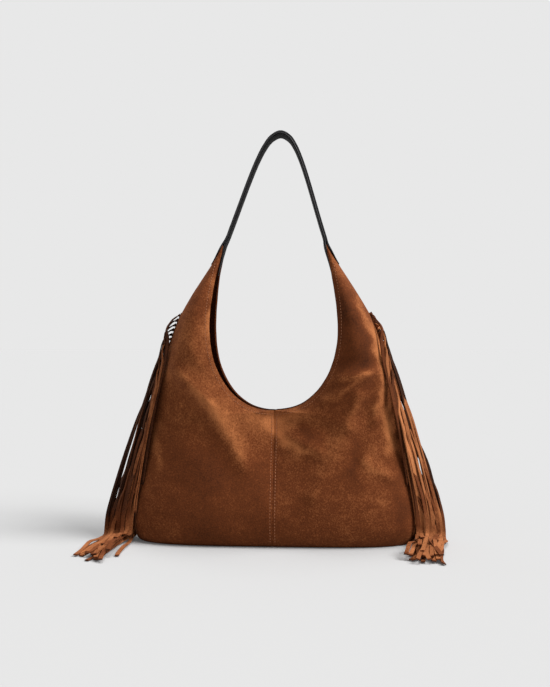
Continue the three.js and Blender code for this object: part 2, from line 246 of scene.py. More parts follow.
# Spots on a panel: probe for its slope, and the search for a place in the front view
LINE_PROBE = 0.002
SEARCH_START = (0.1, 0.5)
SEARCH_ROUNDS = 14
SEARCH_PROBE = 1e-4
SEARCH_MOVE = 0.2
SEARCH_LIMITS = ((0.001, 0.01), (0.98, 0.985))

# Camera, taken from the photograph: level, a little to the right of the middle
CAMERA_DISTANCE = 1.3
CAMERA_HEIGHT = 0.2753
CAMERA_AZIMUTH = 3.5
MM_A_PIXEL = 1.4
IMAGE_HEIGHT = 687
SENSOR = 36

# Floor and light: the lit floor comes out as pale as the backdrop
BACKDROP_GREY = 232
SKY_STRENGTH = 0.38
LIGHTS = {
    "key_light": {"azimuth": 70, "elevation": 45, "strength": 4.0, "softness": 30},
    "top_light": {"azimuth": 180, "elevation": 84, "strength": 1.8, "softness": 30},
}
FLOOR_SIZE = 30
FLOOR_ALBEDO = 0.48
FLOOR_GLOW_SHARE = 0.15
FLOOR_MATCH = 0.999

# Ridges (+) and hollows (-) of the front and the back: ends in the front view, height and width
FRONT_FOLDS = [
    ((-136, 240), (-84, 194), 5, 9),
    ((-84, 194), (-36, 112), 5, 13),
    ((-142, 218), (-96, 172), -4, 14),
    ((-100, 150), (-62, 100), -3, 18),
    ((-122, 256), (-80, 220), -3, 10),
    ((20, 149), (62, 130), 4, 9),
    ((14, 172), (70, 160), -5, 13),
    ((116, 203), (102, 162), 4, 9),
    ((102, 162), (57, 72), 4, 14),
    ((128, 180), (112, 118), -3, 11),
    ((92, 229), (139, 237), 3, 6),
    ((92, 250), (140, 250), -5, 12),
    ((70, 198), (129, 232), 3, 6),
    ((152, 250), (139, 172), 4, 8),
    ((125, 117), (161, 94), 3, 8),
]
BACK_FOLDS = [
    ((-120, 230), (-50, 120), 4, 16),
    ((110, 235), (60, 130), 4, 16),
    ((-100, 175), (-40, 100), -3, 16),
    ((120, 190), (80, 110), -3, 16),
]

# Painted highlights (+) on ridges and slopes that face the light and painted shade (-) in hollows, on the
# shadowed right edge and low down, with some brushed nap: ends in the front view, strength and width
STROKE_FADING = 0.5
FRONT_PAINTED_LIGHT_AND_NAP = [
    ((-134, 240), (-100, 208), 0.16, 5),
    ((-102, 208), (-66, 172), 0.24, 7),
    ((-70, 166), (-52, 140), 0.12, 8),
    ((-52, 138), (-38, 114), 0.2, 8),
    ((-44, 176), (8, 160), 0.18, 15),
    ((-80, 366), (-87, 300), 0.34, 6),
    ((-87, 300), (-76, 240), 0.16, 6),
    ((-2, 178), (46, 172), 0.2, 10),
    ((6, 150), (22, 140), 0.16, 9),
    ((26, 140), (60, 128), 0.22, 6),
    ((28, 157), (68, 146), -0.16, 7),
    ((116, 203), (102, 162), 0.14, 8),
    ((98, 160), (60, 92), 0.14, 12),
    ((109, 150), (113, 80), -0.2, 9),
    ((92, 229), (139, 237), 0.18, 4),
    ((92, 250), (140, 250), -0.14, 11),
    ((70, 198), (129, 232), 0.16, 5),
    ((112, 336), (128, 306), 0.24, 5),
    ((134, 298), (150, 246), 0.44, 7),
    ((112, 326), (130, 245), -0.18, 7),
    ((152, 246), (140, 176), 0.24, 5),
    ((157, 186), (158, 130), 0.42, 7),
    ((125, 117), (161, 94), 0.18, 7),
    ((136, 65), (147, 60), 0.12, 3),
    ((168, 76), (176, 24), -0.18, 10),
    ((-165, 158), (-158, 104), 0.2, 9),
    ((-130, 130), (-90, 50), -0.1, 40),
    ((-170, 28), (170, 28), -0.08, 30),
    ((84, 350), (106, 300), -0.22, 12),
    ((92, 285), (120, 262), -0.1, 13),
    ((-118, 304), (-128, 272), 0.1, 12),
    ((-4, 162), (30, 134), 0.3, 11),
    ((-4, 174), (14, 170), 0.16, 8),
    ((-86, 178), (-54, 148), 0.12, 9),
    ((-84, 194), (-46, 158), 0.12, 9),
    ((-140, 120), (-30, 90), -0.08, 35),
    ((-150, 246), (-148, 226), 0.15, 8),
]
BACK_PAINTED_LIGHT_AND_NAP = [
    ((-120, 232), (-50, 122), 0.2, 10),
    ((110, 237), (60, 132), 0.2, 10),
    ((-60, 60), (60, 60), -0.08, 50),
]


def mix(a, b, share):
    return a + (b - a) * share


def smooth(start, end, value):
    share = np.clip((value - start) / (end - start), 0, 1)
    return share * share * (3 - 2 * share)


def scatter(index, channel):
    """A repeatable number from 0 to 1."""
    wave = math.sin(index * 12.9898 + channel * 78.233) * 43758.5453
    return wave - math.floor(wave)


def unit(vectors):
    return vectors / np.maximum(np.linalg.norm(vectors, axis=-1, keepdims=True), 1e-9)


def bezier(*corners):
    a, b, c, d = (np.array(corner, float) for corner in corners)
    t = np.linspace(0, 1, CURVE_SAMPLES)[:, None]
    return a * (1 - t) ** 3 + 3 * b * t * (1 - t) ** 2 + 3 * c * t * t * (1 - t) + d * t**3


def eased(start, end, *handles):
    """A curve between two points. Each handle is given as the shares of the way on the three axes."""
    start, end = np.array(start, float), np.array(end, float)
    return bezier(start, *(mix(start, end, np.array(shares)) for shares in handles), end)


def joined(*runs):
    return np.vstack([runs[0]] + [run[1:] for run in runs[1:]])


def reach(points):
    steps = np.linalg.norm(np.diff(points, axis=0), axis=1)
    return np.concatenate([[0], np.cumsum(steps)])


def along(points, share):
    """Points at shares of a line's length."""
    lengths = reach(points)
    at = np.asarray(share) * lengths[-1]
    return np.stack([np.interp(at, lengths, points[:, axis]) for axis in range(3)], axis=-1)


def square_to(line):
    """Directions square to a line in the front view, to the right as it runs."""
    heading = unit(np.gradient(line * [1, 0, 1], axis=0))
    return np.stack([heading[:, 2], 0 * heading[:, 0], -heading[:, 0]], axis=-1)


def softened(points, count):
    """An even, rounded line through a few points."""
    ends = np.vstack([2 * points[0] - points[1], points, 2 * points[-1] - points[-2]])
    runs = []
    for before, start, end, after in zip(ends, ends[1:], ends[2:], ends[3:]):
        runs.append(bezier(start, start + (end - before) / 6, end - (after - start) / 6, end))
    return along(joined(*runs), np.linspace(0, 1, count))


# Side seam and inner edge of the front right panel
hip = (HIP_WIDTH / 2, 0, HIP_HEIGHT)
shoulder = (SHOULDER_WIDTH / 2, 0, SHOULDER_HEIGHT)
tip_outer = ((ARM_SPAN + ARM_TIP_WIDTH) / 2, 0, ARM_HEIGHT)
tip_inner = ((ARM_SPAN - ARM_TIP_WIDTH) / 2, -ARM_TIP_DEPTH / 2, ARM_HEIGHT)

corner_run = bezier(
    (BASE_LENGTH / 2, 0, 0),
    (BASE_LENGTH / 2 + 1.9 * CORNER_SWELL, 0, 0.07 * HIP_HEIGHT),
    (hip[0] + 0.45 * CORNER_SWELL, 0, 0.67 * HIP_HEIGHT),
    hip,
)
fringe_run = eased(hip, shoulder, (0.15, 0, 0.26), (0.48, 0, 0.7))
arm_run = eased(shoulder, tip_outer, (0.25, 0, 0.29), (0.74, 0, 0.73))
side_seam = joined(corner_run, fringe_run, arm_run)

base_centre = (SEAM_CLOSED, -BASE_DEPTH / 2, 0)
belly = (SEAM_CLOSED, -BELLY_DEPTH / 2, BELLY_HEIGHT)
rim_centre = (SEAM_CLOSED, -RIM_GAP / 2, MOUTH_DIP)
rim_side = (MOUTH_WIDTH / 2, -MOUTH_GAPE / 2, MOUTH_WIDEST)
belly_run = eased(base_centre, belly, (0, 0.7, 0.1), (0, 1, 0.5))
rise_run = eased(belly, rim_centre, (0, 0, 0.36), (0, 0.92, 0.6))
dip_run = bezier(
    rim_centre,
    (0.62 * rim_side[0], rim_centre[1], rim_centre[2]),
    (rim_side[0], rim_side[1], mix(rim_centre[2], rim_side[2], 0.41)),
    rim_side,
)
rim_run = eased(rim_side, tip_inner, (0, 0, 0.34), (0.5, 1, 0.7))
centre_line = joined(belly_run, rise_run)
rim_line = joined(dip_run, rim_run)
inner_edge = joined(centre_line, rim_line)
RIM_START = reach(centre_line)[-1] / reach(inner_edge)[-1]
FRINGE_START = reach(corner_run)[-1] / reach(side_seam)[-1]
FRINGE_END = 1 - reach(arm_run)[-1] / reach(side_seam)[-1]


def strokes(marks, x, z, fading=0):
    """Sum of soft strokes laid along straight lines in the front view. Their ends fade by a share."""
    total = np.zeros_like(x)
    for start, end, height, width in marks:
        run = np.subtract(end, start)
        share = ((x - start[0]) * run[0] + (z - start[1]) * run[1]) / (run @ run)
        share = np.clip(share, 0, 1)
        distance = np.hypot(x - start[0] - share * run[0], z - start[1] - share * run[1])
        total += height * np.exp(-((distance / width) ** 2)) * (1 - fading * (2 * share - 1) ** 2)
    return total


def frayed_light_and_nap(marks, x, z):
    """Painted light and painted shade, with some brushed nap: strokes with frayed edges."""
    broad_x = FRAY_BROAD * np.sin(z / 11 + 2 * np.sin(x / 29))
    broad_z = FRAY_BROAD * np.sin(x / 13 + 2 * np.sin(z / 25))
    fine_x = FRAY_FINE * np.sin(z / 4.1 + x / 7.3)
    fine_z = FRAY_FINE * np.sin(x / 4.7 - z / 6.9)
    return strokes(marks, x + broad_x + fine_x, z + broad_z + fine_z, STROKE_FADING)


def seam_half(up):
    """Half of the gap in the side seam: it takes the fringe's header between and is closed elsewhere."""
    from_start = smooth(FRINGE_START - SEAM_CLOSING, FRINGE_START, up)
    to_end = smooth(FRINGE_END + SEAM_CLOSING, FRINGE_END, up)
    return mix(SEAM_CLOSED, SEAM_HALF, from_start * to_end)


def panel_surface(side, folds, across, up):
    """Outer face of a front panel: across from the inner edge to the side seam, up from base to tip."""
    inner = along(inner_edge, up)
    outer = along(side_seam, up)
    x = side * mix(inner[..., 0], outer[..., 0], across)
    z = mix(inner[..., 2], outer[..., 2], across)
    roundness = mix(BASE_ROUNDNESS, MOUTH_ROUNDNESS, smooth(0, RIM_START, up))
    section = np.sqrt(np.maximum(0, 1 - across**roundness))
    cheek = smooth(CHEEK_START, RIM_START, up) * (1 - CHEEK_FADE * smooth(0.5, 1, up))
    swell = CHEEK_SWELL * cheek * 4 * across * (1 - across)
    near_ends = smooth(0, FLAT_AT_BASE, up) * smooth(1, 1 - FLAT_AT_TIP, up)
    calm = near_ends * smooth(1, 1 - FLAT_AT_SEAM, across)
    gap = seam_half(up)
    depth = gap + (-inner[..., 1] - gap) * section + swell + calm * strokes(folds, x, z)
    return np.stack([x, -depth, z], axis=-1)


def panel_normals(surface, side, across, up):
    """Directions out of the panel, kept in the plane of each seam so that walls meet squarely there."""
    normals = np.cross(np.gradient(surface, axis=1), np.gradient(surface, axis=0)) * side
    normals[(across == 0) & (up <= RIM_START), 0] = 0
    normals[across == 1, 1] = 0
    normals[up == 0, 2] = 0
    return unit(normals)


def rim_distance(x, z):
    """Distance from the rim in the front view."""
    rim = along(rim_line, np.linspace(0, 1, CURVE_SAMPLES))
    nearest = np.full(x.shape, 1e9)
    for px, _, pz in rim:
        nearest = np.minimum(nearest, np.hypot(np.abs(x) - px, z - pz))
    return nearest


def sewn_relief(x, z, up):
    """Small relief of the sewing: the sunk centre seam, the turned hem and the rows of thread."""
    below_rim = smooth(RIM_START + 0.01, RIM_START - 0.01, up)
    off_seam = np.abs(x)
    off_rim = rim_distance(x, z)
    seam = SEAM_SUNK * np.exp(-((off_seam / SEAM_SOFTNESS) ** 2))
    seam_row = SEAM_ROW_SUNK * np.exp(-(((off_seam - SEAM_ROW) / ROW_SOFTNESS) ** 2))
    hem = HEM_PROUD * smooth(HEM_ROW + HEM_EDGE, HEM_ROW, off_rim)
    hem_row = HEM_ROW_SUNK * np.exp(-(((off_rim - HEM_ROW) / ROW_SOFTNESS) ** 2))
    return hem - hem_row - (seam + seam_row) * below_rim


def slack_relief(x, z):
    """Slight unevenness of soft suede."""
    broad = np.sin(x / 17 + 1.3 * np.sin(z / 29)) * np.sin(z / 21 + 0.8 * np.sin(x / 34))
    fine = np.sin(x / 7.3 + z / 11.7) * np.sin(z / 6.1 - x / 13.9)
    return SLACK_BROAD * broad + SLACK_FINE * fine


def grid_faces(rows, columns, start):
    corner = start + np.arange(rows * columns).reshape(rows, columns)
    quads = np.stack([corner[:-1, :-1], corner[:-1, 1:], corner[1:, 1:], corner[1:, :-1]], axis=-1)
    return quads.reshape(-1, 4), corner


def border(corner):
    """Indices round the edge of a grid."""
    return np.concatenate([corner[0, :-1], corner[:-1, -1], corner[-1, :0:-1], corner[:0:-1, 0]])


def shell_mesh(outer, inner):
    """Points and faces of the closed shell between two grids, with faces outwards."""
    rows, columns = outer.shape[:2]
    points = np.vstack([outer.reshape(-1, 3), inner.reshape(-1, 3)])
    front, front_corner = grid_faces(rows, columns, 0)
    back, back_corner = grid_faces(rows, columns, rows * columns)
    ring, under = border(front_corner), border(back_corner)
    wall = np.stack([ring, under, np.roll(under, -1), np.roll(ring, -1)], axis=-1)
    faces = np.vstack([front, back[:, ::-1], wall])
    a, b, c, d = (points[faces[:, k]] for k in range(4))
    volume = np.einsum("ij,ij->", a, np.cross(b, c)) + np.einsum("ij,ij->", a, np.cross(c, d))
    return points, faces if volume > 0 else faces[:, ::-1]


def add_object(name, data):
    piece = bpy.data.objects.new(name, data)
    bpy.context.scene.collection.objects.link(piece)
    return piece


def mesh_piece(name, points, faces, material):
    mesh = bpy.data.meshes.new(name)
    mesh.from_pydata((points * MM).tolist(), [], faces.tolist())
    mesh.materials.append(material)
    mesh.shade_smooth()
    mesh.set_sharp_from_angle(angle=math.radians(PANEL_SHARP_ANGLE))
    return add_object(name, mesh)


def store(mesh, name, values, kind="FLOAT"):
    attribute = mesh.attributes.new(name, kind, "POINT")
    field = "vector" if kind == "FLOAT_VECTOR" else "value"
    attribute.data.foreach_set(field, np.asarray(values, float).ravel())


# Materials

def paint(red, green, blue):
    """A colour given as on a screen, 0 to 255, for a shader."""
    linear = [((c / 255 + 0.055) / 1.055) ** 2.4 if c > 10 else c / 255 / 12.92 for c in (red, green, blue)]
    return (*linear, 1)


def new_material(name):
    material = bpy.data.materials.new(name)
    material.use_nodes = True
    tree = material.node_tree
    return material, tree, tree.nodes["Principled BSDF"]


def feed(tree, node, **inputs):
    """Sets or links inputs, each called by its place, as in i0, or by its name with _ for each space."""
    for key, value in inputs.items():
        by_place = key[0] == "i" and key[1:].isdigit()
        socket = node.inputs[int(key[1:]) if by_place else key.replace("_", " ")]
        if isinstance(value, bpy.types.NodeSocket):
            tree.links.new(value, socket)
        else:
            socket.default_value = value
    return node


def add_node(tree, kind, settings=None, **inputs):
    node = tree.nodes.new(kind)
    for key, value in (settings or {}).items():
        setattr(node, key, value)
    return feed(tree, node, **inputs)


def noise(tree, place, size_mm, detail=3.0, roughness=0.55):
    """Noise whose blotches are about size_mm across."""
    scale = 1 / (size_mm * MM)
    shape = {"Vector": place, "Scale": scale, "Detail": detail, "Roughness": roughness}
    return add_node(tree, "ShaderNodeTexNoise", **shape).outputs["Fac"]


def bump(tree, strength, depth_mm, height):
    node = add_node(tree, "ShaderNodeBump", Strength=strength, Distance=depth_mm * MM, Height=height)
    return node.outputs["Normal"]


def math_node(tree, operation, a, b, clamp=False):
    settings = {"operation": operation, "use_clamp": clamp}
    return add_node(tree, "ShaderNodeMath", settings, i0=a, i1=b).outputs[0]


def weighted(tree, parts, base):
    """base plus the sum of each value less a half, times its weight."""
    total = base
    for value, weight in parts:
        centred = math_node(tree, "SUBTRACT", value, 0.5)
        scaled = math_node(tree, "MULTIPLY", centred, weight)
        total = math_node(tree, "ADD", scaled, total)
    return total


def ramp(tree, value, stops):
    node = add_node(tree, "ShaderNodeValToRGB", Fac=value)
    band = node.color_ramp
    while len(band.elements) < len(stops):
        band.elements.new(0.5)
    for element, (place, colour) in zip(band.elements, stops):
        element.position = place
        element.color = colour
    return node.outputs["Color"]


def suede_material(name, tones, grain):
    """Suede: blotched brown, paler where the attribute of tone, painted light and painted shade is up, with
    a fine fibrous bump.
    """
    material, tree, shader = new_material(name)
    place = add_node(tree, "ShaderNodeTexCoord").outputs["Object"]
    # This attribute carries painted highlights and painted shade as well as the suede's own tone
    tone_and_painted_light = add_node(tree, "ShaderNodeAttribute", {"attribute_name": "tone_and_painted_light"}).outputs["Fac"]
    fibre = noise(tree, place, size_mm=0.9, detail=4, roughness=0.7)
    speck = noise(tree, place, size_mm=2.2, detail=3, roughness=0.7)
    blotch = noise(tree, place, size_mm=12, detail=3, roughness=0.6)
    cloud = noise(tree, place, size_mm=70, detail=2, roughness=0.5)
    parts = [(fibre, 0.5 * grain), (speck, 0.65 * grain), (blotch, 0.25), (cloud, 0.36)]
    shade = math_node(tree, "ADD", weighted(tree, parts, 0.45), tone_and_painted_light, True)
    dark, middle, pale = tones
    colour = ramp(tree, shade, [(0.05, dark), (0.45, middle), (0.95, pale)])
    sheen = {"Sheen_Weight": 0.12, "Sheen_Roughness": 0.4, "Sheen_Tint": paint(222, 140, 84)}
    feed(tree, shader, Base_Color=colour, Roughness=0.95, Specular_IOR_Level=0.12, **sheen)
    height = math_node(tree, "ADD", fibre, math_node(tree, "MULTIPLY", speck, 1.4))
    feed(tree, shader, Normal=bump(tree, 0.45, 0.5, height))
    return material


def leather_material(name, colour, roughness, shine):
    """Smooth leather: near black, with a fine pebbled grain and uneven gloss."""
    material, tree, shader = new_material(name)
    place = add_node(tree, "ShaderNodeTexCoord").outputs["Object"]
    pebble = 1 / (1.1 * MM)
    grain = add_node(tree, "ShaderNodeTexVoronoi", {"feature": "SMOOTH_F1"}, Vector=place, Scale=pebble)
    patch = noise(tree, place, size_mm=9)
    pore = noise(tree, place, size_mm=0.7)
    lighter = tuple(2.1 * c for c in colour[:3]) + (1,)
    shade = weighted(tree, [(patch, 0.8), (pore, 0.6)], 0.5)
    tone = ramp(tree, shade, [(0.2, colour), (0.9, lighter)])
    rough = weighted(tree, [(patch, 0.16), (pore, 0.12)], roughness)
    height = math_node(tree, "ADD", grain.outputs["Distance"], pore)
    relief = bump(tree, 0.1, 0.3, height)
    feed(tree, shader, Base_Color=tone, Roughness=rough, Specular_IOR_Level=shine, Normal=relief)
    return material


def thread_material(name, colour, paler):
    """Spun thread: fine twisted ridges and uneven colour."""
    material, tree, shader = new_material(name)
    place = add_node(tree, "ShaderNodeTexCoord").outputs["Object"]
    twist = noise(tree, place, size_mm=0.4, detail=2)
    tone = ramp(tree, twist, [(0.3, colour), (0.7, paler)])
    feed(tree, shader, Base_Color=tone, Roughness=0.7, Normal=bump(tree, 0.3, 0.1, twist))
    return material


BROWN_TONES = (paint(52, 23, 7), paint(96, 48, 21), paint(182, 113, 67))
FRINGE_TONES = (paint(38, 16, 5), paint(98, 51, 25), paint(182, 116, 72))
suede = suede_material("brown_suede", BROWN_TONES, 1.0)
fringe_suede = suede_material("fringe_suede", FRINGE_TONES, 0.8)
# The leather's dark grey stands in for the glossy reflection on the black strap's faces: painted reflection
strap_leather = leather_material("black_strap_leather", paint(54, 53, 54), 0.5, 0.45)
strap_edge_paint = leather_material("black_edge_paint", paint(6, 5, 6), 0.8, 0.1)
brown_thread = thread_material("brown_thread", paint(122, 70, 40), paint(164, 104, 66))
black_thread = thread_material("black_thread", paint(14, 13, 14), paint(40, 38, 38))


# Geometry node trees

def new_tree(name, sizes):
    """A node tree with a geometry input and output, and a material and the named sizes as inputs."""
    tree = bpy.data.node_groups.new(name, "GeometryNodeTree")
    face = tree.interface
    face.new_socket("Geometry", in_out="INPUT", socket_type="NodeSocketGeometry")
    face.new_socket("Geometry", in_out="OUTPUT", socket_type="NodeSocketGeometry")
    face.new_socket("Material", in_out="INPUT", socket_type="NodeSocketMaterial")
    for label, size in sizes.items():
        face.new_socket(label, in_out="INPUT", socket_type="NodeSocketFloat").default_value = size * MM
    return tree, tree.nodes.new("NodeGroupInput").outputs, tree.nodes.new("NodeGroupOutput").inputs


def made(tree, kind, settings=None, **inputs):
    """The first output of a new node."""
    return add_node(tree, kind, settings, **inputs).outputs[0]


def finish_tree(tree, geometry, material, result):
    """Ends a tree in Realize Instances and Set Material."""
    whole = made(tree, "GeometryNodeRealizeInstances", Geometry=geometry)
    coloured = made(tree, "GeometryNodeSetMaterial", Geometry=whole, Material=material)
    tree.links.new(coloured, result["Geometry"])


STRIP_SIZES = {"Strip Width": STRIP_WIDTH, "Strip Thickness": STRIP_THICKNESS}
STITCH_SIZES = {"Spacing": STITCH_SPACING, "Stitch Length": STITCH_LENGTH, "Thread": STITCH_THREAD}


def strip_tree():
    """Sweeps a flat strip along each line, its face turned as the attribute lie says."""
    tree, given, result = new_tree("cut_strips", STRIP_SIZES)
    line = made(tree, "GeometryNodeMeshToCurve", Mesh=given["Geometry"])
    lie = made(tree, "GeometryNodeInputNamedAttribute", {"data_type": "FLOAT_VECTOR"}, Name="lie")
    turned = made(tree, "GeometryNodeSetCurveNormal", {"mode": "FREE"}, Curve=line, Normal=lie)
    wide, thick = given["Strip Width"], given["Strip Thickness"]
    section = made(tree, "GeometryNodeCurvePrimitiveQuadrilateral", Width=thick, Height=wide)
    swept = made(tree, "GeometryNodeCurveToMesh", Curve=turned, Profile_Curve=section, Fill_Caps=True)
    finish_tree(tree, swept, given["Material"], result)
    return tree


def stitch_tree():
    """Lays evenly spaced stitches along each line."""
    tree, given, result = new_tree("sewn_stitches", STITCH_SIZES)
    line = made(tree, "GeometryNodeMeshToCurve", Mesh=given["Geometry"])
    even = {"mode": "LENGTH"}
    dots = add_node(tree, "GeometryNodeCurveToPoints", even, Curve=line, Length=given["Spacing"]).outputs
    bead = made(tree, "GeometryNodeMeshUVSphere", Segments=8, Rings=5, Radius=0.5)
    thread, length = given["Thread"], given["Stitch Length"]
    shape = made(tree, "ShaderNodeCombineXYZ", X=thread, Y=thread, Z=length)
    turn = made(tree, "FunctionNodeAlignRotationToVector", {"axis": "Z"}, Vector=dots["Tangent"])
    placing = {"Points": dots["Points"], "Instance": bead, "Rotation": turn, "Scale": shape}
    laid = made(tree, "GeometryNodeInstanceOnPoints", **placing)
    whole = made(tree, "GeometryNodeRealizeInstances", Geometry=laid)
    rounded = made(tree, "GeometryNodeSetShadeSmooth", Geometry=whole)
    finish_tree(tree, rounded, given["Material"], result)
    return tree


def lines_mesh(name, lines):
    """A mesh of open lines of points, in millimetres."""
    points = np.vstack(lines)
    starts = np.cumsum([0] + [len(line) for line in lines])
    edges = [(k, k + 1) for start, end in zip(starts, starts[1:]) for k in range(start, end - 1)]
    mesh = bpy.data.meshes.new(name)
    mesh.from_pydata((points * MM).tolist(), edges, [])
    return mesh


def grown(name, mesh, tree, sizes, material):
    """The plain mesh that a node tree makes from a mesh, as an object."""
    values = {label: size * MM for label, size in sizes.items()}
    values["Material"] = material
    carrier = add_object(name + "_lines", mesh)
    modifier = carrier.modifiers.new("grow", "NODES")
    modifier.node_group = tree
    for item in tree.interface.items_tree:
        if item.in_out == "INPUT" and item.name in values:
            modifier[item.identifier] = values[item.name]
    ready = carrier.evaluated_get(bpy.context.evaluated_depsgraph_get())
    plain = bpy.data.meshes.new_from_object(ready)
    plain.name = name
    bpy.data.objects.remove(carrier)
    return add_object(name, plain)


# Pieces

def fitted(piece, slot, *nodes):
    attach(piece, "root")
    if nodes:
        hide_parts(*nodes)
    return piece


def panel_relief(x, z, across, up):
    """Relief of a panel's outer face, which fades out towards its edges."""
    near_ends = smooth(0, FLAT_AT_BASE, up) * smooth(1, 1 - FLAT_AT_TIP, up)
    slack = near_ends * smooth(1, 1 - SLACK_MARGIN, across) * slack_relief(x, z)
    sewing = smooth(1, 1 - SEWN_MARGIN, across) * smooth(0, SEWN_START, up) * sewn_relief(x, z, up)
    return slack + sewing


def panel(name, node, side, face, folds, tone_and_painted_light):
    """One suede panel, mirrored to the back where face is -1."""
    column = np.linspace(0, 1, PANEL_COLUMNS + 1)
    crowded = mix(column, (1 - np.cos(math.pi * column)) / 2, EDGE_CROWDING)
    low_rows = round(PANEL_ROWS * RIM_START)
    low = np.linspace(0, RIM_START, low_rows + 1)
    high = np.linspace(RIM_START, 1, PANEL_ROWS - low_rows + 1)[1:]
    across, up = np.meshgrid(crowded, np.concatenate([low, high]))
    surface = panel_surface(side, folds, across, up)
    normals = panel_normals(surface, side, across, up)
    x, z = surface[..., 0], surface[..., 2]
    outer = surface + normals * panel_relief(x, z, across, up)[..., None]
    inner = surface - normals * SUEDE
    flip = np.array([1, face, 1])
    points, faces = shell_mesh(outer * flip, inner * flip)
    piece = mesh_piece(name, points, faces, suede)
    # Painted highlights and painted shade with some brushed nap on the outer face, painted shade on the
    # inner face
    light_and_nap_on_panel = frayed_light_and_nap(tone_and_painted_light, x, z).ravel()
    store(piece.data, "tone_and_painted_light", np.concatenate([light_and_nap_on_panel, np.full(light_and_nap_on_panel.size, INSIDE_PAINTED_SHADE)]))
    return fitted(piece, "suede", node)


def base_piece():
    """Flat base inside the lower edges of the panels, with softened edges."""
    column = np.linspace(0, 1, OUTLINE_STEPS)
    across, up = np.meshgrid(1 - (1 - column) ** BASE_CROWDING, np.array([0.0, 0.001]))
    surface = panel_surface(1, [], across, up)
    edge = (surface - panel_normals(surface, 1, across, up) * (SUEDE + BASE_GAP))[0]
    half = np.vstack([edge, edge[-2::-1] * [1, -1, 1]])
    outline = np.vstack([half, half[-2:0:-1] * [-1, 1, 1]])
    mesh = bpy.data.meshes.new("base_panel_suede")
    shape = bmesh.new()
    ring = [shape.verts.new((x * MM, y * MM, 0)) for x, y, _ in outline]
    floor_face = shape.faces.new(ring)
    lifted = bmesh.ops.extrude_face_region(shape, geom=[floor_face])["geom"]
    raised = [part for part in lifted if isinstance(part, bmesh.types.BMVert)]
    bmesh.ops.translate(shape, verts=raised, vec=(0, 0, BASE_THICKNESS * MM))
    bmesh.ops.recalc_face_normals(shape, faces=shape.faces)
    rims = [edge for edge in shape.edges if abs(edge.verts[0].co.z - edge.verts[1].co.z) < 1e-6]
    bmesh.ops.bevel(shape, geom=rims, offset=BASE_BEVEL * MM, segments=3, profile=0.5, affect="EDGES")
    bmesh.ops.triangulate(shape, faces=shape.faces)
    shape.to_mesh(mesh)
    shape.free()
    mesh.materials.append(suede)
    store(mesh, "tone_and_painted_light", np.full(len(mesh.vertices), BASE_PAINTED_SHADE))
    return fitted(add_object("base_panel_suede", mesh), "suede", "base_panel")


def strap_line(edge, lap):
    """Line of a ply's inner face from one arm over the top to the other, with its laps on the arms."""
    join_height = ARM_HEIGHT + STRAP_JOIN_RISE
    top = np.array([STRAP_LEAN, 0, STRAP_TOP - STRAP_PLY - CLEARANCE / 2])
    rise = top[2] - join_height
    legs = []
    for side in (-1, 1):
        legs.append(bezier(
            (side * STRAP_JOIN_SPAN / 2 + 0.2 * STRAP_LEAN, 0, join_height),
            (side * 0.29 * STRAP_JOIN_SPAN + 0.6 * STRAP_LEAN, 0, join_height + 0.56 * rise),
            (STRAP_LEAN + side * 0.18 * STRAP_JOIN_SPAN, 0, top[2]),
            top,
        ))
    span = reach(edge)[-1]
    lap_run = along(edge, 1 - np.array([1, 0.5, 0]) * lap / span) * [1, 0, 1]
    left = along(legs[0], np.linspace(0, 1, LEG_STEPS))
    right = along(legs[1], np.linspace(1, 0, LEG_STEPS))[1:]
    line = np.vstack([lap_run * [-1, 1, 1], left, right, lap_run[::-1]])
    return softened(line, STRAP_STEPS)


def strap_frames(edge, lap, outward):
    """Middle line of a ply and the directions out of its face."""
    line = strap_line(edge, lap)
    through = square_to(line) * -outward
    return line + through * (CLEARANCE + STRAP_PLY / 2), through


def strap_taper(middle, lap):
    """Shares of a ply's thickness and width that are left along it: its ends are skived, narrow tongues."""
    run = reach(middle)
    full = smooth(0, lap, np.minimum(run, run[-1] - run))
    return mix(STRAP_SKIVE, 1, full), mix(STRAP_TONGUE, 1, full)


def strap_section():
    """Rounded outline of a ply's cut: signs across and through it, and the shares of its rounding."""
    section = []
    for width_sign, ply_sign in ((-1, -1), (1, -1), (1, 1), (-1, 1)):
        for turn in (0, 45, 90):
            spin = math.radians(turn) if width_sign * ply_sign < 0 else math.radians(90 - turn)
            section.append((width_sign, ply_sign, 1 - math.sin(spin), 1 - math.cos(spin)))
    return section


def strap_rings(edge, lap, outward):
    """Points round a ply's cut at each step along it."""
    middle, through = strap_frames(edge, lap, outward)
    thinned, narrowed = strap_taper(middle, lap)
    ply = STRAP_PLY * thinned
    rounding = STRAP_EDGE_ROUND * thinned
    seat = middle - through * ((STRAP_PLY - ply) / 2)[:, None]
    rings = []
    for width_sign, ply_sign, width_cut, ply_cut in strap_section():
        sideways = width_sign * (STRAP_WIDTH / 2 * narrowed - width_cut * rounding)
        outwards = ply_sign * (ply / 2 - ply_cut * rounding)
        rings.append(seat + sideways[:, None] * [-STRAP_TURN, 1, 0] + outwards[:, None] * through)
    return np.stack(rings, axis=1)


def turn_outwards(mesh):
    """Turns all faces of a closed mesh outwards."""
    shape = bmesh.new()
    shape.from_mesh(mesh)
    bmesh.ops.recalc_face_normals(shape, faces=shape.faces)
    shape.to_mesh(mesh)
    shape.free()


